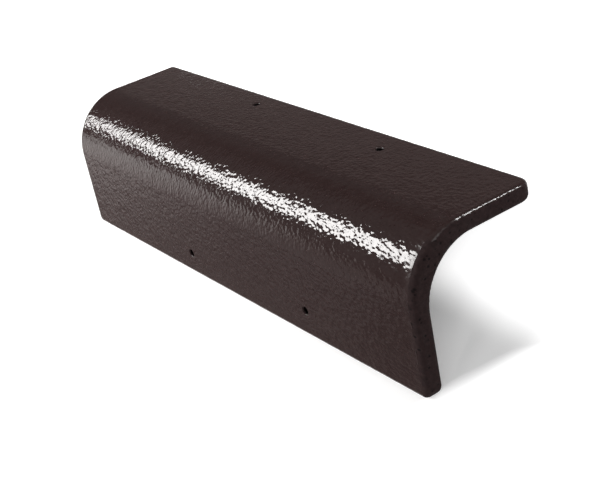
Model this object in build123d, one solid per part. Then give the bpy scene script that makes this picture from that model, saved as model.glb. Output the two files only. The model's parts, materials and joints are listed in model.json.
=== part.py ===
from build123d import *
import os
from math import atan2, degrees

# Angled verge tile: one length of concrete with a right-angled section.
# The cover leg lies on the edge of the roof and the side leg hangs down the gable.
# The head is the end that points up the slope and the tail is the end that points down it.
# All sizes are in millimetres.

# Section, with both legs measured from the outside of the bend
tile_length = 420.0
cover_leg = 99.0
side_leg = 103.0
wall = 12.5
outer_bend_radius = 42.0
inner_bend_radius = 37.0

# Corners of the legs, seen square on: tight at the head, rounder at the tail
head_corner_radius = 4.5
cover_tail_corner_radius = 9.5
side_tail_corner_radius = 6.5

# Rounding of the edge that runs right round each face
outer_arris_radius = 3.0
inner_arris_radius = 4.0

# Nail holes: distance from the head, then from the outside of the bend
nail_hole_bore = 5.0
cover_nail_holes = ((150.0, 83.0), (301.0, 79.0))
side_nail_holes = ((156.0, 86.0), (301.0, 83.5))

# Each skin has the flats of two legs and a bend, and these are the tile's largest faces
flats_and_bends = 6

# The line through the inner edges of both tips leans from the cover leg by this angle
tip_line_lean = degrees(atan2(side_leg - wall, cover_leg - wall))


def angle_section():
    """Right-angled section with a large bend, its sharp outer corner at the origin."""
    outline = make_face(
        Polyline(
            (0, 0),
            (cover_leg, 0),
            (cover_leg, -wall),
            (wall, -wall),
            (wall, -side_leg),
            (0, -side_leg),
            close=True,
        )
    )
    outer_corner = outline.vertices().sort_by_distance((0, 0, 0))[0]
    outline = fillet(outer_corner, outer_bend_radius)
    inner_corner = outline.vertices().sort_by_distance((wall, -wall, 0))[0]
    return fillet(inner_corner, inner_bend_radius)


def leg_corner(tile, on_cover, at_tail):
    """The sharp edge through the wall at one corner of a leg."""
    if on_cover:
        tip = tile.edges().filter_by(Axis.Z).group_by(Axis.Y)[-1]
    else:
        tip = tile.edges().filter_by(Axis.Y).group_by(Axis.Z)[0]
    head_to_tail = tip.sort_by(Axis.X)
    return head_to_tail[-1] if at_tail else head_to_tail[0]


def round_leg_corners(tile):
    """Round the corners of both legs in plan, each picked on the tile as it then is."""
    for on_cover, tail_radius in ((True, cover_tail_corner_radius), (False, side_tail_corner_radius)):
        tile = fillet(leg_corner(tile, on_cover, at_tail=False), head_corner_radius)
        tile = fillet(leg_corner(tile, on_cover, at_tail=True), tail_radius)
    return tile


def soften_arris(tile, facing, radius):
    """Round the edge that runs right round the outer or the inner face."""
    both_skins = tile.faces().sort_by(SortBy.AREA)[-flats_and_bends:]
    skin = both_skins.filter_by(lambda face: face.normal_at().dot(facing) > 0)
    bend_lines = skin.edges().filter_by(Axis.X).group_by(SortBy.LENGTH)[-1]
    arris = skin.edges().filter_by(lambda edge: edge.length < bend_lines[0].length)
    return fillet(arris, radius)


def drill_nail_holes(tile):
    """Two holes through each leg, square to its face."""
    drill = Cylinder(nail_hole_bore / 2, 2 * wall)
    for from_head, from_bend in cover_nail_holes:
        tile -= Pos(from_head, from_bend, -wall / 2) * drill
    for from_head, from_bend in side_nail_holes:
        tile -= Pos(from_head, wall / 2, -from_bend) * Rot(X=90) * drill
    return tile


def stand_on_tips(tile):
    """Turn the bend upwards, so the tile stands on both tips, centred on the origin."""
    tile = Rot(X=-tip_line_lean) * tile
    box = tile.bounding_box()
    return Pos(-box.center().X, -box.center().Y, -box.min.Z) * tile


tile = extrude(Plane.YZ * angle_section(), tile_length)
tile = round_leg_corners(tile)
outwards = Vector(0, -1, 1)
tile = soften_arris(tile, outwards, outer_arris_radius)
tile = soften_arris(tile, -outwards, inner_arris_radius)
tile = drill_nail_holes(tile)
verge_tile = stand_on_tips(tile)
verge_tile.label = "verge_tile"

os.makedirs("parts", exist_ok=True)
export_step(verge_tile, "parts/verge_tile.step")

box = verge_tile.bounding_box()
print("verge tile", round(verge_tile.volume), "mm3,", box.size)
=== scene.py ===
# %% [markdown]
# # A concrete verge tile
# A verge tile covers the edge of a roof at the gable. It is one length of pressed concrete with a
# right-angled section: the cover leg lies on the roof and the side leg hangs down the wall, joined by a
# large round bend. A thick glossy coating was sprayed over it, and it dried with an orange-peel surface
# that breaks up every highlight. That surface is what this lesson is mostly about.

# %% Load the frame
import json
from math import atan2, cos, pi, sin

import bmesh
import bpy
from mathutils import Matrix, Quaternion, Vector


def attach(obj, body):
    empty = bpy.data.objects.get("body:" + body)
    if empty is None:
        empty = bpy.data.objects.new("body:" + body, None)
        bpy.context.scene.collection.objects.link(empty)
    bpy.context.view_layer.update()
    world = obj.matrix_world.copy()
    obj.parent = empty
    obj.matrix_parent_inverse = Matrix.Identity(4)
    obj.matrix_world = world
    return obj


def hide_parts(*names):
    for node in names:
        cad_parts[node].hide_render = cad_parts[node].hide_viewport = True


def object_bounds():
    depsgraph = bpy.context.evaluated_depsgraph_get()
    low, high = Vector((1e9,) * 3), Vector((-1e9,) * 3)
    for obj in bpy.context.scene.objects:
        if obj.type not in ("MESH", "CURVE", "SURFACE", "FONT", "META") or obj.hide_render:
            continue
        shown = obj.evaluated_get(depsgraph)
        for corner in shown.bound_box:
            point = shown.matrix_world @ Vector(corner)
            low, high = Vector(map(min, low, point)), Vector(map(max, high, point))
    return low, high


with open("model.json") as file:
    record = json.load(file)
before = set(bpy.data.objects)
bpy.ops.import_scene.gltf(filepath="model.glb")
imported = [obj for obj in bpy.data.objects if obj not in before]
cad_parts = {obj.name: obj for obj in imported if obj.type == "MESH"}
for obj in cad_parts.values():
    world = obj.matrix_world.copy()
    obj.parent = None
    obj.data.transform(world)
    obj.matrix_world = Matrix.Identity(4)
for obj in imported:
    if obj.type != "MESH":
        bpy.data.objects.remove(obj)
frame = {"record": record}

cad_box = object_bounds()
print("CAD box", cad_box)

# %% [markdown]
# ## Sizes
# The tile is modelled in its own axes: X runs along it from the head, Y across the cover leg, and the side
# leg hangs down -Z, with the sharp outer corner at the origin. Blender works in metres, so the sizes are
# written in millimetres and scaled once. What the CAD already knows is read from it and not written again.

# %% Sizes
MM = 0.001
COVER_LEG = 99.0 * MM
SIDE_LEG = 103.0 * MM
OUTER_BEND_RADIUS = 42.0 * MM
INNER_BEND_RADIUS = 37.0 * MM
HEAD_CORNER_RADIUS = 4.5 * MM
COVER_TAIL_CORNER_RADIUS = 9.5 * MM
SIDE_TAIL_CORNER_RADIUS = 6.5 * MM
OUTER_ARRIS_RADIUS = 3.0 * MM
INNER_ARRIS_RADIUS = 4.0 * MM
HOLE_RIM_RADIUS = 1.3 * MM

TILE_LENGTH = cad_box[1].x - cad_box[0].x
holes = [mount for mount in frame["record"]["mounts"] if mount["kind"] == "bore"]
WALL = holes[0]["dims"]["length_mm"] * MM
HOLE_RADIUS = holes[0]["dims"]["r_mm"] * MM
print("length", TILE_LENGTH, "wall", WALL, "holes", len(holes))

# %% [markdown]
# ## Picking by place
# Operators act on what is selected, so every step says what it works on. One helper makes an object the
# only selected one, and another picks edges by where they lie.

# %% Select by place
SAME_PLACE = 0.01 * MM


def work_on(piece):
    """Make this the only selected and the active object."""
    bpy.ops.object.select_all(action="DESELECT")
    piece.select_set(True)
    bpy.context.view_layer.objects.active = piece


def near(a, b):
    """True when two lengths agree."""
    return abs(a - b) < SAME_PLACE


def pick_edges(piece, wanted):
    """Select only the edges whose two ends pass the test, and count them."""
    bpy.ops.mesh.select_mode(type="EDGE")
    bpy.ops.mesh.select_all(action="DESELECT")
    draft = bmesh.from_edit_mesh(piece.data)
    for edge in draft.edges:
        edge.select_set(wanted(edge.verts[0].co, edge.verts[1].co))
    bmesh.update_edit_mesh(piece.data)
    return sum(edge.select for edge in draft.edges)


print("two points agree within", SAME_PLACE / MM, "mm")

# %% [markdown]
# ## The outer and the inner skin
# The bend's outer curve and inner curve have different centres, which makes the tile thicker at the bend.
# So the tile isn't a sheet with one thickness: each skin is drawn by itself. A plane is the flat of the
# cover leg, its edge is spun a quarter turn for the bend, and the last edge is extruded down for the side
# leg.

# %% Draw both skins
BEND_STEPS = 32


def draw_skin(name, depth, bend_radius):
    """One skin, this deep below the outer face."""
    centre = depth + bend_radius
    flat = COVER_LEG - centre
    bpy.ops.mesh.primitive_plane_add(size=1, location=(TILE_LENGTH / 2, centre + flat / 2, -depth))
    skin = bpy.context.object
    skin.name = name
    work_on(skin)
    skin.scale = (TILE_LENGTH, flat, 1)
    bpy.ops.object.transform_apply(location=True, scale=True)
    bpy.ops.object.mode_set(mode="EDIT")
    pick_edges(skin, lambda p, q: near(p.y, centre) and near(q.y, centre))
    bpy.ops.mesh.spin(steps=BEND_STEPS, angle=-pi / 2, center=(0, centre, -centre), axis=(1, 0, 0))
    foot = pick_edges(skin, lambda p, q: near(p.z, -centre) and near(q.z, -centre))
    bpy.ops.mesh.extrude_region_move(TRANSFORM_OT_translate={"value": (0, 0, centre - SIDE_LEG)})
    bpy.ops.object.mode_set(mode="OBJECT")
    print(name, "faces", len(skin.data.polygons), "foot edges", foot)
    return skin


bpy.ops.object.select_all(action="DESELECT")
outer_skin = draw_skin("outer_skin", 0, OUTER_BEND_RADIUS)
inner_skin = draw_skin("inner_skin", WALL, INNER_BEND_RADIUS)

# %% [markdown]
# ## Closing the wall
# Both skins have the same number of edges round their border, so one bridge between the two borders closes
# the ends and the tips with clean four-sided faces.

# %% Bridge the skins
MERGE_WITHIN = 0.001 * MM

work_on(outer_skin)
inner_skin.select_set(True)
bpy.ops.object.join()
tile = outer_skin
tile.name = "coated_tile"
bpy.ops.object.mode_set(mode="EDIT")
bpy.ops.mesh.select_all(action="SELECT")
bpy.ops.mesh.remove_doubles(threshold=MERGE_WITHIN)
bpy.ops.mesh.select_mode(type="EDGE")
bpy.ops.mesh.select_all(action="DESELECT")
bpy.ops.mesh.select_non_manifold(extend=False)
bpy.ops.mesh.bridge_edge_loops()
bpy.ops.mesh.select_all(action="SELECT")
bpy.ops.mesh.normals_make_consistent(inside=False)
bpy.ops.object.mode_set(mode="OBJECT")
print("closed wall", len(tile.data.polygons), "faces")

# %% [markdown]
# ## Corners of the legs
# The mould gives each leg rounded corners, tight at the head and rounder at the tail, where the tile is
# handled and laid. Each is a bevel of the one short edge that runs through the wall there.

# %% Round the corners
CORNER_STEPS = 8


def round_corner(at_x, on_cover, radius):
    """Bevel the short edge through the wall at one corner of a leg."""
    def through_wall(p, q):
        if not (near(p.x, at_x) and near(q.x, at_x)):
            return False
        if on_cover:
            return near(p.y, COVER_LEG) and near(q.y, COVER_LEG)
        return near(p.z, -SIDE_LEG) and near(q.z, -SIDE_LEG)

    count = pick_edges(tile, through_wall)
    bpy.ops.mesh.bevel(offset=radius, segments=CORNER_STEPS, affect="EDGES", clamp_overlap=False)
    return count


bpy.ops.object.mode_set(mode="EDIT")
for at_x, on_cover, radius in ((0, True, HEAD_CORNER_RADIUS), (0, False, HEAD_CORNER_RADIUS),
                               (TILE_LENGTH, True, COVER_TAIL_CORNER_RADIUS),
                               (TILE_LENGTH, False, SIDE_TAIL_CORNER_RADIUS)):
    print("corner of", radius / MM, "mm:", round_corner(at_x, on_cover, radius), "edge")
bpy.ops.object.mode_set(mode="OBJECT")

# %% [markdown]
# ## Arrises
# No pressed tile keeps a sharp edge. The edge right round the outer skin is rounded, and the one round the
# inner skin a little more. Each is one closed line of edges, picked as the points that lie on a skin and on
# its border.

# %% Tell skin and border
def on_skin(p, depth, bend_radius):
    """True when a point lies on the skin that is this deep below the outer face."""
    centre = depth + bend_radius
    if p.y >= centre - SAME_PLACE:
        return near(p.z, -depth)
    if p.z <= -centre + SAME_PLACE:
        return near(p.y, depth)
    return near(Vector((p.y - centre, p.z + centre)).length, bend_radius)


def on_border(p):
    """True when a point lies at an end, at a tip or on one of the rounded corners."""
    if near(p.x, 0) or near(p.x, TILE_LENGTH) or near(p.y, COVER_LEG) or near(p.z, -SIDE_LEG):
        return True
    in_head = p.x < HEAD_CORNER_RADIUS
    cover_radius = HEAD_CORNER_RADIUS if in_head else COVER_TAIL_CORNER_RADIUS
    side_radius = HEAD_CORNER_RADIUS if in_head else SIDE_TAIL_CORNER_RADIUS
    at_end = in_head or p.x > TILE_LENGTH - max(cover_radius, side_radius)
    return at_end and (p.y > COVER_LEG - cover_radius or p.z < side_radius - SIDE_LEG)


print("border points", sum(on_border(vertex.co) for vertex in tile.data.vertices))

# %% Round the arrises
ARRIS_STEPS = 5


def round_arris(depth, bend_radius, radius):
    """Bevel the closed line of edges right round one skin."""
    def on_line(p):
        return on_skin(p, depth, bend_radius) and on_border(p)

    count = pick_edges(tile, lambda p, q: on_line(p) and on_line(q))
    bpy.ops.mesh.bevel(offset=radius, segments=ARRIS_STEPS, affect="EDGES", clamp_overlap=False)
    return count


bpy.ops.object.mode_set(mode="EDIT")
print("outer arris", round_arris(0, OUTER_BEND_RADIUS, OUTER_ARRIS_RADIUS), "edges")
print("inner arris", round_arris(WALL, INNER_BEND_RADIUS, INNER_ARRIS_RADIUS), "edges")
bpy.ops.object.mode_set(mode="OBJECT")

# %% [markdown]
# ## Standing the tile where the CAD stands it
# The CAD stores the tile standing on both tips. A nail hole's axis leans from the vertical by the same
# angle as the cover leg leans from the floor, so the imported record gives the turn. The object is turned and
# moved for now, and its place is applied to the mesh at the end.

# %% Stand the tile up
cover_axis = next(hole["axis"] for hole in holes if hole["axis"][1] > 0)
LEAN = atan2(cover_axis[1], cover_axis[2])
tile.rotation_euler.x = -LEAN
bpy.context.view_layer.update()
corners = [tile.matrix_world @ vertex.co for vertex in tile.data.vertices]
span = [(min(p[i] for p in corners), max(p[i] for p in corners)) for i in range(3)]
tile.location = (-sum(span[0]) / 2, -sum(span[1]) / 2, -span[2][0])
bpy.context.view_layer.update()
print("turned", LEAN * 180 / pi, "degrees; box", [round((b - a) / MM, 2) for a, b in span], "mm")

# %% [markdown]
# ## An even mesh for the relief
# Relief needs small faces of one size everywhere. A voxel remesh gives them, aligned with both legs, and it
# carries them smoothly round every arris. Voxels round shapes off a little, so a shrinkwrap then lays each
# point back on the clean tile that was kept beside it.

# %% Remesh
VOXEL = 1.15 * MM


def apply_modifier(piece, kind, **settings):
    """Add a modifier, set it and apply it."""
    modifier = piece.modifiers.new(kind.title(), kind)
    for name, value in settings.items():
        setattr(modifier, name, value)
    work_on(piece)
    bpy.ops.object.modifier_apply(modifier=modifier.name)


work_on(tile)
bpy.ops.object.duplicate()
clean_tile = bpy.context.object
clean_tile.name = "clean_tile"
apply_modifier(tile, "REMESH", mode="VOXEL", voxel_size=VOXEL)
apply_modifier(tile, "SHRINKWRAP", wrap_method="NEAREST_SURFACEPOINT", target=clean_tile)
bpy.data.objects.remove(clean_tile)
print("even mesh", len(tile.data.polygons), "faces")

# %% [markdown]
# ## Nail holes
# Each hole is where the record's mount says, square to its leg. The coating runs a little way into the hole
# and leaves a soft rim that catches the light, so the drill is turned like on a lathe: a straight shank
# that flares at the outer face. Half its outline is drawn point by point and spun once round.

# %% Turn the drill
FLARE_STEPS = 5
DRILL_SIDES = 40
LIFT = 0.02 * MM
DRILL_BELOW = 2 * WALL
DRILL_ABOVE = 1 * MM

drill_outline = [(0, -DRILL_BELOW), (HOLE_RADIUS, -DRILL_BELOW)]
for flare_step in range(FLARE_STEPS + 1):
    angle = flare_step / FLARE_STEPS * pi / 2
    drill_outline.append((HOLE_RADIUS + HOLE_RIM_RADIUS * (1 - cos(angle)),
                          LIFT - HOLE_RIM_RADIUS * (1 - sin(angle))))
drill_outline += [(HOLE_RADIUS + HOLE_RIM_RADIUS, DRILL_ABOVE), (0, DRILL_ABOVE)]
print("drill outline of", len(drill_outline), "points")


def turn_drill():
    """A drill along Z whose flare meets the outer face at its origin."""
    bpy.ops.mesh.primitive_plane_add(size=1 * MM)
    drill = bpy.context.object
    work_on(drill)
    bpy.ops.object.mode_set(mode="EDIT")
    bpy.ops.mesh.delete(type="VERT")
    draft = bmesh.from_edit_mesh(drill.data)
    points = [draft.verts.new((x, 0, z)) for x, z in drill_outline]
    for first, second in zip(points, points[1:]):
        draft.edges.new((first, second))
    bmesh.update_edit_mesh(drill.data)
    bpy.ops.mesh.select_all(action="SELECT")
    bpy.ops.mesh.spin(steps=DRILL_SIDES, angle=2 * pi, center=(0, 0, 0), axis=(0, 0, 1))
    bpy.ops.mesh.select_all(action="SELECT")
    bpy.ops.mesh.remove_doubles(threshold=MERGE_WITHIN)
    bpy.ops.mesh.normals_make_consistent(inside=False)
    bpy.ops.object.mode_set(mode="OBJECT")
    return drill


# %% Drill the nail holes
for hole in holes:
    drill = turn_drill()
    out = Vector(hole["axis"])
    drill.location = Vector(hole["pos_m"]) + out * WALL / 2
    drill.rotation_euler = out.to_track_quat("Z", "Y").to_euler()
    bpy.context.view_layer.update()
    apply_modifier(tile, "BOOLEAN", operation="DIFFERENCE", solver="EXACT", object=drill)
    bpy.data.objects.remove(drill)
    print(hole["name"], "drilled,", len(tile.data.polygons), "faces")

# %% [markdown]
# ## Where the coating lies
# The coating was sprayed from outside, so it covers the outer faces fully and leaves the underside with
# dull overspray. Every point gets a number for its depth below the outer skin. It is kept as an attribute
# of the mesh, because later steps move the points and a material can read an attribute by its name.

# %% Measure the depth
def depth_below_outer(p):
    """How far a point lies below the outer skin."""
    if p.y > OUTER_BEND_RADIUS:
        return -p.z
    if p.z < -OUTER_BEND_RADIUS:
        return p.y
    return OUTER_BEND_RADIUS - Vector((p.y - OUTER_BEND_RADIUS, p.z + OUTER_BEND_RADIUS)).length


def note_on_points(name, values):
    """Keep one number for every point under this name."""
    tile.data.attributes.new(name, "FLOAT", "POINT").data.foreach_set("value", values)


depths = [depth_below_outer(vertex.co) for vertex in tile.data.vertices]
note_on_points("depth", [depth / WALL for depth in depths])
print("depth from", round(min(depths) / MM, 3), "to", round(max(depths) / MM, 3), "mm")

# %% [markdown]
# ## Where the gloss gives out
# Over the last centimetre before the tail the bend and the side leg lose their gloss, and the white band
# breaks off there. On the cover leg only the arris itself is dull. A second number on every point holds
# that, and the coating adds it to its roughness.

# %% Dull the tail
DULL_FROM = 12 * MM
DULL_TO = 5.5 * MM
DULL_BELOW = 20 * MM
DULL_ARRIS = 0.5


def step(value, start, end):
    """Go from 0 to 1 while a value goes from start to end."""
    return min(max((value - start) / (end - start), 0), 1)


def dullness(p):
    """1 where the coating has lost its gloss next to the tail, 0 where it shines."""
    from_tail = TILE_LENGTH - p.x
    if p.y < DULL_BELOW:
        return step(from_tail, DULL_FROM, DULL_TO)
    return DULL_ARRIS * step(from_tail, OUTER_ARRIS_RADIUS, OUTER_ARRIS_RADIUS / 2)


dulls = [dullness(vertex.co) for vertex in tile.data.vertices]
note_on_points("dull", dulls)
print("points without full gloss", sum(dull > 0 for dull in dulls))

# %% [markdown]
# ## Where the coating is rough
# Over the middle of the bend the coating is lumpier than on the flats, which is why the white band there
# looks so broken. A third number says where: it rises and falls with the angle round the bend.

# %% Find the middle of the bend
ROUGH_FROM = (18, 32)
ROUGH_TO = (54, 66)


def roughness_of_bend(p):
    """1 over the middle of the bend, 0 on the flats and next to them."""
    if p.y > OUTER_BEND_RADIUS or p.z < -OUTER_BEND_RADIUS:
        return 0
    angle = atan2(p.y - OUTER_BEND_RADIUS, p.z + OUTER_BEND_RADIUS) * 180 / pi + 90
    return step(angle, *ROUGH_FROM) * (1 - step(angle, *ROUGH_TO))


roughs = [roughness_of_bend(vertex.co) for vertex in tile.data.vertices]
note_on_points("rough_bend", roughs)
print("points on the rough bend", sum(rough > 0 for rough in roughs))

# %% [markdown]
# ## Where the relief may cut
# Groups of points limit the relief. It fades out round the arrises, is full over the middle of the bend and
# weaker on the flats, and the two ends have waves of their own.

# %% Group the points
FLAT_RELIEF = 0.65

groups = {name: tile.vertex_groups.new(name=name) for name in ("outer", "under", "ends")}
for vertex, depth, rough in zip(tile.data.vertices, depths, roughs):
    from_end = min(vertex.co.x, TILE_LENGTH - vertex.co.x)
    at_outer = step(depth, OUTER_ARRIS_RADIUS, 0) * (FLAT_RELIEF + (1 - FLAT_RELIEF) * rough)
    groups["outer"].add([vertex.index], at_outer, "REPLACE")
    groups["ends"].add([vertex.index], step(from_end, OUTER_ARRIS_RADIUS, 0), "REPLACE")
    if depth > WALL - OUTER_ARRIS_RADIUS and from_end > INNER_ARRIS_RADIUS:
        groups["under"].add([vertex.index], 1, "REPLACE")
print("groups", sorted(groups))

# %% [markdown]
# ## Fewer faces where nobody looks
# The underside is plain, so its faces are joined into larger ones, which leaves the count for the outer
# faces.

# %% Thin the underside
KEPT_SHARE = 0.62

apply_modifier(tile, "DECIMATE", ratio=KEPT_SHARE, vertex_group="under")
print("thinned mesh", sum(len(face.vertices) - 2 for face in tile.data.polygons), "triangles")

# %% [markdown]
# ## Relief
# The coating dried in soft dimples a few millimetres across, over wider waves left by the mould. Each row
# below is one scale of that: a Displace modifier takes it from a procedural texture. All of them only cut
# inwards, so the tile never grows past its true size. Relief this coarse is real geometry, because it moves
# the edges of the highlights and the outline, and what is finer is left to the bump of the coating.

# %% Raise the relief
# Name, depth, group of points, size of the waves and octaves
RELIEF = (
    ("mould_waves", 0.10 * MM, "outer", 10 * MM, 1),
    ("orange_peel", 0.21 * MM, "outer", 3.7 * MM, 0),
    ("end_waves", 0.35 * MM, "ends", 7 * MM, 2),
)

for name, depth, group, size, octaves in RELIEF:
    pattern = bpy.data.textures.new(name, "CLOUDS")
    pattern.noise_scale = size
    pattern.noise_depth = octaves
    apply_modifier(tile, "DISPLACE", texture=pattern, strength=depth, mid_level=1.0, vertex_group=group)
    bpy.data.textures.remove(pattern)
    print(name, "cut", round(depth / MM, 2), "mm deep")

# %% [markdown]
# ## Turning the place into the mesh
# The finished object sits at the origin, unturned, with its place in its mesh. It stands for the CAD solid
# and rides on the same body.

# %% Apply the place
work_on(tile)
bpy.ops.object.transform_apply(location=True, rotation=True, scale=True)
bpy.ops.object.shade_smooth()
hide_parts("verge_tile")
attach(tile, "root")

# %% [markdown]
# ## Mixing finishes
# A finish is a tree of nodes, and writing each node out by hand takes many lines. This small helper adds a
# node, sets it and feeds its inputs in one go. An input is fed with a number, a colour or another node's
# output.

# %% Helper for node trees
class Recipe:
    """A node tree under way, with short ways to add to it."""

    def __init__(self, tree):
        self.tree = tree

    def feed(self, socket, value):
        """Link an output into a socket, or set the socket to a number or a colour."""
        if isinstance(value, bpy.types.NodeSocket):
            self.tree.links.new(value, socket)
        else:
            socket.default_value = (*value, 1) if isinstance(value, tuple) else value

    def add(self, kind, inputs=(), **settings):
        """Add a node, set its own properties, and feed inputs by name or number."""
        made = self.tree.nodes.new(kind)
        for name, value in settings.items():
            setattr(made, name, value)
        for name, value in dict(inputs).items():
            self.feed(made.inputs[name], value)
        return made

    def reckon(self, operation, *values):
        """Arithmetic on one, two or three values."""
        return self.add("ShaderNodeMath", dict(enumerate(values)), operation=operation).outputs[0]

    def spread(self, value, from_range, to_range, kind="LINEAR"):
        """Map one range of values onto another."""
        inputs = {"Value": value, "From Min": from_range[0], "From Max": from_range[1],
                  "To Min": to_range[0], "To Max": to_range[1]}
        return self.add("ShaderNodeMapRange", inputs, interpolation_type=kind).outputs["Result"]

    def ramp(self, value, from_range, to_range):
        """The same with a smooth start and end."""
        return self.spread(value, from_range, to_range, "SMOOTHSTEP")

    def blend(self, factor, first, second):
        """Mix two colours."""
        inputs = {"Factor": factor, 6: first, 7: second}
        return self.add("ShaderNodeMix", inputs, data_type="RGBA").outputs[2]

    def object_axes(self):
        """The X, Y and Z of the shaded point on its object."""
        place = self.add("ShaderNodeTexCoord").outputs["Object"]
        return self.add("ShaderNodeSeparateXYZ", {0: place}).outputs


RISE = (0, 1)
FALL = (1, 0)
print("recipes rise over", RISE, "and fall over", FALL)

# %% [markdown]
# ## Grain of the coating
# Noise that is read straight from the Object coordinates looks alike everywhere. In the photograph the
# grain is narrower towards the head than at the tail, and it leans one way at the head and the other way at
# the tail. So the point that every pattern is read at is first squeezed and skewed along the tile, by
# amounts that change with X.

# %% Helper for the tile's finishes
GRAIN_SQUEEZE = 1.15
SQUEEZE_CHANGE = 2.0
GRAIN_SKEW = -0.35
SKEW_CHANGE = 2.6


class Finish(Recipe):
    """A material of the tile under way, with patterns in the tile's own grain."""

    def __init__(self, name):
        self.material = bpy.data.materials.new(name)
        self.material.use_nodes = True
        super().__init__(self.material.node_tree)
        self.shader = self.tree.nodes["Principled BSDF"]
        x, y, z = self.object_axes()
        squeeze = self.reckon("MULTIPLY_ADD", x, -SQUEEZE_CHANGE / 2, GRAIN_SQUEEZE)
        skew = self.reckon("MULTIPLY_ADD", x, SKEW_CHANGE, GRAIN_SKEW)
        squeezed = self.reckon("MULTIPLY", x, squeeze)
        skewed = self.reckon("MULTIPLY_ADD", y, skew, squeezed)
        self.place = self.add("ShaderNodeCombineXYZ", {0: skewed, 1: y, 2: z}).outputs[0]

    def shade(self, **inputs):
        """Feed the shader's inputs, with _ for a space in their names."""
        for name, value in inputs.items():
            self.feed(self.shader.inputs[name.replace("_", " ")], value)

    def attribute(self, name):
        """A number that each point of the mesh carries."""
        return self.add("ShaderNodeAttribute", attribute_name=name).outputs["Fac"]

    def noise(self, size, detail, roughness=0.5):
        """Noise with grains of about this size."""
        inputs = {"Vector": self.place, "Scale": 1 / size, "Detail": detail, "Roughness": roughness}
        return self.add("ShaderNodeTexNoise", inputs).outputs["Fac"]

    def cells(self, size):
        """Distance from the nearest of many scattered points."""
        inputs = {"Vector": self.place, "Scale": 1 / size}
        return self.add("ShaderNodeTexVoronoi", inputs).outputs["Distance"]

    def bump(self, height, depth, under=None):
        """Bump of this depth in metres, over an earlier bump if there is one."""
        inputs = {"Strength": 1.0, "Distance": depth, "Height": height}
        if under is not None:
            inputs["Normal"] = under
        return self.add("ShaderNodeBump", inputs).outputs["Normal"]


print("grain squeezed by", GRAIN_SQUEEZE, "and skewed by", GRAIN_SKEW, "in the middle of the tile")

# %% [markdown]
# ## The coating
# The paint is a very dark reddish brown. It is glossy, but no two square centimetres shine alike: it lies
# thicker in some places, and dust dulls it a little. The colour and the roughness each follow their own
# noise, and where the tile's points are marked dull the roughness goes up.

# %% Mix the coating
THICK_COAT = (0.0280, 0.0160, 0.0153)
THIN_COAT = (0.0325, 0.0195, 0.0187)
NOISE_RANGE = (0.3, 0.7)
COAT_PATCHES = 7 * MM
COAT_RANGE = (0.35, 0.65)
GLOSS_PATCHES = 11 * MM
GLOSS = (0.07, 0.12)
DULL_ROUGHNESS = 0.18
COAT_SPECULAR = 0.4

coating = Finish("coated_concrete")
patches = coating.spread(coating.noise(COAT_PATCHES, 4), COAT_RANGE, RISE)
gloss = coating.spread(coating.noise(GLOSS_PATCHES, 3), NOISE_RANGE, GLOSS)
roughness = coating.reckon("MULTIPLY_ADD", coating.attribute("dull"), DULL_ROUGHNESS, gloss)
coating.shade(Base_Color=coating.blend(patches, THICK_COAT, THIN_COAT), Roughness=roughness,
              Specular_IOR_Level=COAT_SPECULAR)
print(coating.material.name, "roughness", GLOSS, "and up to", GLOSS[1] + DULL_ROUGHNESS, "where dull")

# %% [markdown]
# ## Orange peel too fine for the mesh
# Two sizes of dimples finish the orange peel. They are bump, because geometry that fine would take millions
# of faces. Where the bend is rough the larger dimples are at full depth, and on the flats they are
# shallower by the same share as the relief.

# %% Dimple the coating
PEEL_SIZE = 2.4 * MM
PEEL_DEPTH = 0.33 * MM
FINE_SIZE = 1.2 * MM
FINE_DEPTH = 0.08 * MM

share = coating.reckon("MULTIPLY_ADD", coating.attribute("rough_bend"), 1 - FLAT_RELIEF, FLAT_RELIEF)
dimples = coating.reckon("MULTIPLY", coating.noise(PEEL_SIZE, 0), share)
peel = coating.bump(dimples, PEEL_DEPTH)
coating.shade(Normal=coating.bump(coating.noise(FINE_SIZE, 0), FINE_DEPTH, under=peel))
print("dimples of", PEEL_SIZE / MM, "and", FINE_SIZE / MM, "mm")

# %% [markdown]
# ## The ends and the underside
# On its two ends and on its underside the concrete is only dusted with paint: the same brown, but matt and
# grainy, with small pits. The pits come from a Voronoi texture, which scatters points and gives the distance
# to the nearest, so a narrow range of short distances makes one dark dot round each: a dent in the bump,
# painted dark as painted shade in the pit.

# %% Mix the bare concrete
DARK_DUST = (0.0190, 0.0117, 0.0118)
PALE_DUST = (0.0325, 0.0197, 0.0197)
DUST_GRAINS = 2.5 * MM
DUST_PATCHES = 4 * MM
DUST_ROUGHNESS = (0.55, 0.8)
PIT_SHADE = (0.009, 0.006, 0.006)
PIT_SPACING = 4.2 * MM
PIT_EDGE = (0.14, 0.26)
PIT_DEPTH = 0.2 * MM
GRIT_SIZE = 1.2 * MM
GRIT_DEPTH = 0.25 * MM
BARE_SPECULAR = 0.05

dusted = Finish("dusted_concrete")
grains = dusted.spread(dusted.noise(DUST_GRAINS, 5, 0.65), NOISE_RANGE, RISE)
between_pits = dusted.spread(dusted.cells(PIT_SPACING), PIT_EDGE, RISE)
grit = dusted.bump(dusted.noise(GRIT_SIZE, 4, 0.6), GRIT_DEPTH)
dusting = dusted.blend(grains, DARK_DUST, PALE_DUST)
# The pits are painted dark as painted shade; they are dents in the bump as well.
dusted.shade(Base_Color=dusted.blend(between_pits, PIT_SHADE, dusting),
             Roughness=dusted.spread(dusted.noise(DUST_PATCHES, 3), NOISE_RANGE, DUST_ROUGHNESS),
             Specular_IOR_Level=BARE_SPECULAR,
             Normal=dusted.bump(between_pits, PIT_DEPTH, under=grit))
print(dusted.material.name, "pits about", PIT_SPACING / MM, "mm apart")
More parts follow.
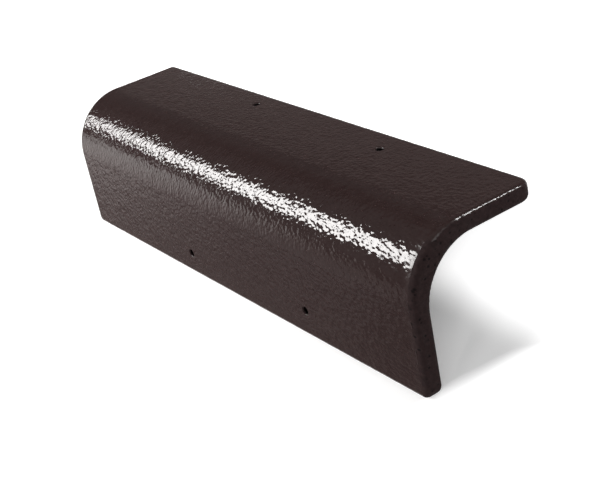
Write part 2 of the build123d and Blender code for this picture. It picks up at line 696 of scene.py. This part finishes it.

# %% [markdown]
# ## Inside the nail holes
# No paint reaches the inside of a hole, and next to the gloss it looks black; its wall is painted near black
# here, as painted shade.

# %% Paint the shade inside the holes
DARK_HOLE_SHADE = (0.003, 0.0022, 0.0022)
PALE_HOLE_SHADE = (0.006, 0.0045, 0.0045)
HOLE_SHADE_GRAINS = 1.5 * MM
RAW_GRIT = 0.8 * MM
RAW_GRIT_DEPTH = 0.15 * MM
RAW_ROUGHNESS = 0.95

hole_shade = Finish("hole_painted_shade")
hole_shade.shade(Base_Color=hole_shade.blend(hole_shade.noise(HOLE_SHADE_GRAINS, 3), DARK_HOLE_SHADE, PALE_HOLE_SHADE),
          Roughness=RAW_ROUGHNESS,
          Specular_IOR_Level=BARE_SPECULAR,
          Normal=hole_shade.bump(hole_shade.noise(RAW_GRIT, 3), RAW_GRIT_DEPTH))
print(hole_shade.material.name, "grit of", RAW_GRIT / MM, "mm")

# %% [markdown]
# ## Which face has which finish
# The coating, the dusting and the painted shade inside the holes meet at places that are easy to name: the
# holes, the two ends, and the depth at which the spray gave out. So each face is asked where it lies and
# which way it
# looks. On the cover leg the coating reaches round the ends' arris, and at the tail of the bend and the
# side leg it stops short of it.

# %% Paint the faces
COATED, DUSTED, SHADED_HOLE = range(3)
PAINT_REACH = 0.3
COVER_FROM = 12.5 * MM
COVER_ARRIS = 0.8
OTHER_ARRIS = 0.30
HOLE_MARGIN = 1.04


def in_hole(point):
    """True inside the straight part of a nail hole."""
    for hole in holes:
        axis = Vector(hole["axis"])
        offset = point - Vector(hole["pos_m"])
        if (offset - offset.dot(axis) * axis).length < HOLE_MARGIN * HOLE_RADIUS:
            return True
    return False


def finish_at(face, depth):
    """The finish of one face, whose depth is given as a share of the wall."""
    # Faces inside a hole get the painted shade.
    if in_hole(face.center):
        return SHADED_HOLE
    on_cover = face.center.y > COVER_FROM
    bare_end = abs(face.normal.x) > (COVER_ARRIS if on_cover else OTHER_ARRIS)
    at_tail = not on_cover and face.center.x > TILE_LENGTH / 2 - DULL_TO
    return DUSTED if bare_end or at_tail or depth > PAINT_REACH else COATED


tile.data.materials.clear()
for finish in (coating, dusted, hole_shade):
    tile.data.materials.append(finish.material)
point_depths = tile.data.attributes["depth"].data
# The third count is the faces inside the holes, which carry painted shade.
counts = [0, 0, 0]
for face in tile.data.polygons:
    face_depth = sum(point_depths[corner].value for corner in face.vertices) / len(face.vertices)
    face.material_index = finish_at(face, face_depth)
    counts[face.material_index] += 1
print("faces with coating, dusting and raw concrete", counts)

# %% [markdown]
# ## Floor
# The photograph shows a white ground that keeps a soft shadow. The ground here is a wide round floor with a
# wall at its rim, drawn as one circle whose edge is pulled up, so no corner of the room shows.

# %% Draw the floor
FLOOR_RADIUS = 15.0
FLOOR_SIDES = 96
WALL_HEIGHT = 8.0

bpy.ops.object.select_all(action="DESELECT")
bpy.ops.mesh.primitive_circle_add(vertices=FLOOR_SIDES, radius=FLOOR_RADIUS, fill_type="NGON",
                                  location=(0, 0, 0))
floor = bpy.context.object
floor.name = "floor"
bpy.ops.object.mode_set(mode="EDIT")
bpy.ops.mesh.select_all(action="SELECT")
bpy.ops.mesh.region_to_loop()
bpy.ops.mesh.extrude_edges_move(TRANSFORM_OT_translate={"value": (0, 0, WALL_HEIGHT)})
bpy.ops.object.mode_set(mode="OBJECT")
print("floor and wall of", len(floor.data.polygons), "faces")

# %% [markdown]
# ## White paper, dark room
# In the photograph the gloss mirrors white only close to the floor and a dark room beyond, as if the white
# paper ended close to the tile. So the floor needs to know how far a spot lies from the tile, and what kind
# of ray looks at it. A ray from the camera sees white paper everywhere. A mirrored ray sees it only next to
# the tile.

# %% Tell near from far
PAPER_REACH = (0.070, 0.085)

paper = bpy.data.materials.new("white_floor")
paper.use_nodes = True
ground = Recipe(paper.node_tree)
along, across, height = ground.object_axes()
past_end = ground.reckon("SUBTRACT", ground.reckon("ABSOLUTE", along), TILE_LENGTH / 2)
past_end = ground.reckon("POWER", ground.reckon("MAXIMUM", past_end, 0), 2)
beside = ground.reckon("POWER", ground.reckon("ABSOLUTE", across), 2)
distance = ground.reckon("SQRT", ground.reckon("ADD", past_end, beside))

rays = ground.add("ShaderNodeLightPath").outputs
mirrored = ground.reckon("MAXIMUM", rays["Is Glossy Ray"], rays["Is Transmission Ray"])
near_mirrored = ground.reckon("MULTIPLY", mirrored, ground.ramp(distance, PAPER_REACH, FALL))
far_mirrored = ground.reckon("SUBTRACT", mirrored, near_mirrored)
white_seen = ground.reckon("MAXIMUM", rays["Is Camera Ray"], near_mirrored)
print("mirrored paper ends", PAPER_REACH, "m from the tile's middle line")

# %% [markdown]
# ## The shadow on the floor
# A lit white floor would still render grey, so the floor adds a glow of its own for the rays that see
# white. Less glow is a deeper shadow. Close to the tile it is weak, and it grows to full white a little way
# out. It is stronger under the tail's mouth and behind the cover leg, where the photograph's shadow is
# paler. It is weakest in the middle of the shadow past the tail, and a slanted line ends that shadow as the
# photograph's ends.

# %% Shade the floor
FLOOR_GLOW = 0.25
SHADOW_REACH = (0.12, 0.45)
MOUTH_GLOW = 0.7
MOUTH_X = (0.12, 0.18)
MOUTH_Y = (-0.023, 0.010)
BACK_GLOW = 0.8
BACK_Y = (0.040, 0.075)
DEEP_SHADE = 0.11
DEEP_X = (0.203, 0.215)
DEEP_Y = (-0.030, -0.012)
SHADOW_EDGE = (0.257, 0.291)

mouth = ground.reckon("MULTIPLY", ground.ramp(along, MOUTH_X, (0, MOUTH_GLOW)),
                      ground.ramp(across, MOUTH_Y, RISE))
behind = ground.ramp(across, BACK_Y, (0, BACK_GLOW))
paler = ground.reckon("ADD", ground.reckon("MAXIMUM", mouth, behind), FLOOR_GLOW)
glow = ground.reckon("MAXIMUM", ground.ramp(distance, SHADOW_REACH, (FLOOR_GLOW, 1)), paler)
deep = ground.reckon("MULTIPLY", ground.ramp(along, DEEP_X, (0, DEEP_SHADE)),
                     ground.ramp(across, DEEP_Y, FALL))
past_shadow = ground.ramp(ground.reckon("SUBTRACT", along, across), SHADOW_EDGE, RISE)
glow = ground.reckon("MAXIMUM", ground.reckon("SUBTRACT", glow, deep), past_shadow)
print("glow from", round(FLOOR_GLOW - DEEP_SHADE, 2), "in the deepest shade to 1 outside the shadow")

# %% [markdown]
# ## What the gloss mirrors
# To a mirrored ray the paper fades to a dark brown floor, darker still further out, and the wall glows
# dimly at its foot and less towards its top. Those dark tones are what makes the coating look deep and
# glossy.

# %% Darken the room
FLOOR_COLOUR = (0.8, 0.8, 0.8)
DARK_FLOOR = (0.165, 0.142, 0.138)
DARKEST_FLOOR = (0.05, 0.043, 0.042)
DARK_REACH = (0.17, 0.44)
MIRRORED_WALL = (0.10, 0.02)
WALL_DUSK = (0.3, 5.5)
WALL_FOOT = 1 * MM

on_wall = ground.reckon("GREATER_THAN", height, WALL_FOOT)
wall_glow = ground.reckon("MULTIPLY", on_wall, ground.ramp(height, WALL_DUSK, MIRRORED_WALL))
beyond = ground.blend(ground.ramp(distance, DARK_REACH, RISE), DARK_FLOOR, DARKEST_FLOOR)
light = ground.reckon("ADD", ground.reckon("MULTIPLY", white_seen, glow),
                      ground.reckon("MULTIPLY", far_mirrored, wall_glow))
matt_white = {"Base Color": ground.blend(far_mirrored, FLOOR_COLOUR, beyond), "Roughness": 1.0,
              "Specular IOR Level": 0.0, "Emission Color": (1, 1, 1), "Emission Strength": light}
for name, value in matt_white.items():
    ground.feed(ground.tree.nodes["Principled BSDF"].inputs[name], value)
floor.data.materials.append(paper)
print("floor recipe of", len(ground.tree.nodes), "nodes")

# %% [markdown]
# ## Lights
# A lamp's reflection in the gloss shows where it stands, so each is found by tracing its reflection back.
# Area lamps are used, because the coating mirrors their shape. A lamp may also be graded: its own nodes
# vary its light over its face, and the reflection fades with it.

# %% Helpers for lamps
def soft_box(name, place, aim, size, radiance):
    """A rectangular lamp at a place, facing its aim, as bright as this all over its face."""
    lamp = bpy.data.lights.new(name, "AREA")
    lamp.shape = "RECTANGLE"
    lamp.size, lamp.size_y = size
    lamp.energy = radiance * pi * size[0] * size[1]
    holder = bpy.data.objects.new(name, lamp)
    bpy.context.scene.collection.objects.link(holder)
    holder.location = place
    holder.rotation_euler = (Vector(aim) - Vector(place)).to_track_quat("-Z", "Y").to_euler()
    print(name, "of", round(lamp.energy, 1), "W")
    return holder


def grade(holder, pattern, colours=None):
    """Vary a lamp's light by its face's two directions, and its colour between two with it."""
    holder.data.use_nodes = True
    recipe = Recipe(holder.data.node_tree)
    lamp_face = recipe.add("ShaderNodeNewGeometry").outputs["Parametric"]
    sides = recipe.add("ShaderNodeSeparateXYZ", {0: lamp_face}).outputs
    strength = pattern(recipe, sides[0], sides[1])
    emission = recipe.tree.nodes["Emission"].inputs
    recipe.feed(emission["Strength"], strength)
    if colours:
        recipe.feed(emission["Color"], recipe.blend(strength, *colours))


# %% [markdown]
# ## The white band
# Tracing the photograph's white band back from the bend leads to a strip light parallel to the tile, above
# it and beyond its head. Its reflection is the band, and it throws the shadow past the tail. The far part
# of the band is dimmer, so the strip fades along its length.

# %% Hang the strip light
STRIP_PLACE = (-1.4, -0.127, 1.05)
STRIP_AIM = (-1.4, -0.127, 0)
STRIP_SIZE = (1.8, 0.345)
STRIP_RADIANCE = 20.5
STRIP_COLOUR = (1, 0.985, 0.975)
STRIP_FADE = (0.25, 0.75)
FAR_SHARE = 0.58

strip = soft_box("strip_light", STRIP_PLACE, STRIP_AIM, STRIP_SIZE, STRIP_RADIANCE)
strip.data.color = STRIP_COLOUR
grade(strip, lambda recipe, u, v: recipe.ramp(u, STRIP_FADE, (FAR_SHARE, 1.0)))

# %% [markdown]
# ## The sheen on the side leg
# The far part of the side leg shines softly and warmly. A broad low panel beyond the head does that. It
# fades in both directions of its face, as the sheen does along and across the leg, and its dim parts are
# redder than its bright ones.

# %% Hang the sheen light
SHEEN_PLACE = (-1.39, -0.87, 0.43)
SHEEN_AIM = (0, 0, 0.43)
SHEEN_SIZE = (1.0, 0.86)
SHEEN_RADIANCE = 1.75
SHEEN_ACROSS = (0.18, 0.72)
SHEEN_ACROSS_LEVELS = (1.0, 0.17)
SHEEN_RISE = (0, 0.8)
SHEEN_RISE_LEVELS = (0.67, 1.03)
SHEEN_TOP = (0.8, 1.0)
SHEEN_TOP_LEVELS = (1.0, 0.6)
DIM_SHEEN = (1, 0.87, 0.85)
BRIGHT_SHEEN = (1, 0.97, 0.95)


def sheen_pattern(recipe, u, v):
    """Brightest along one side, and fading from one place on it to both ends."""
    upright = recipe.reckon("MULTIPLY", recipe.ramp(v, SHEEN_RISE, SHEEN_RISE_LEVELS),
                            recipe.ramp(v, SHEEN_TOP, SHEEN_TOP_LEVELS))
    return recipe.reckon("MULTIPLY", recipe.ramp(u, SHEEN_ACROSS, SHEEN_ACROSS_LEVELS), upright)


sheen = soft_box("sheen_light", SHEEN_PLACE, SHEEN_AIM, SHEEN_SIZE, SHEEN_RADIANCE)
grade(sheen, sheen_pattern, (DIM_SHEEN, BRIGHT_SHEEN))

# %% [markdown]
# ## Rim, fill and front
# A small lamp beyond the tail, on the cover leg's side, draws the thin pale line on the arris there. Two
# wide dim ones and a dim room keep the shadows open, without a reflection of their own that anyone would
# notice.

# %% Hang the other lights
MIDDLE = (0, 0, 0.03)
ROOM_LEVEL = 0.16
# Name, place, aim, size and radiance
PLAIN_LAMPS = (
    ("rim_light", (0.50, 0.95, 0.16), (0.21, 0.02, 0.04), (0.30, 0.12), 40),
    ("fill_light", (0.2, -1.2, 0.5), MIDDLE, (1.2, 1.2), 2.2),
    ("front_light", (1.3, 0.7, 1.2), MIDDLE, (1.6, 1.6), 1.2),
)

for lamp_row in PLAIN_LAMPS:
    soft_box(*lamp_row)
room = bpy.data.worlds.new("room")
room.use_nodes = True
air = room.node_tree.nodes["Background"].inputs
air["Color"].default_value = (1, 1, 1, 1)
air["Strength"].default_value = ROOM_LEVEL
bpy.context.scene.world = room
print("room level", ROOM_LEVEL)

# %% [markdown]
# ## Camera
# The camera's place and lens were fitted to the photograph's outline. It is rolled, because the photograph
# shows the tile balanced on its side leg, while here it rests on both tips, as it would by itself.

# %% Place the camera
CAMERA_PLACE = Vector((719.0, -19.51, 560.05)) * MM
CAMERA_AIM = Vector((26.70, -17.11, -2.90)) * MM
CAMERA_ROLL = -65.02 * pi / 180
LENS = 77.11
SENSOR_WIDTH = 36

lens = bpy.data.cameras.new("camera")
lens.lens = LENS
lens.sensor_width = SENSOR_WIDTH
camera = bpy.data.objects.new("camera", lens)
bpy.context.scene.collection.objects.link(camera)
camera.location = CAMERA_PLACE
camera.rotation_mode = "QUATERNION"
level = (CAMERA_AIM - CAMERA_PLACE).to_track_quat("-Z", "Y")
camera.rotation_quaternion = level @ Quaternion((0, 0, 1), CAMERA_ROLL)
bpy.context.scene.camera = camera
bpy.context.scene.view_settings.view_transform = "Standard"
print("camera", round((CAMERA_AIM - CAMERA_PLACE).length, 3), "m from its aim")

# %% [markdown]
# ## Finishing
# The scene is brought up to date at the end. The visual tile has to stay inside the CAD tile's box.

# %% Finish
bpy.context.view_layer.update()
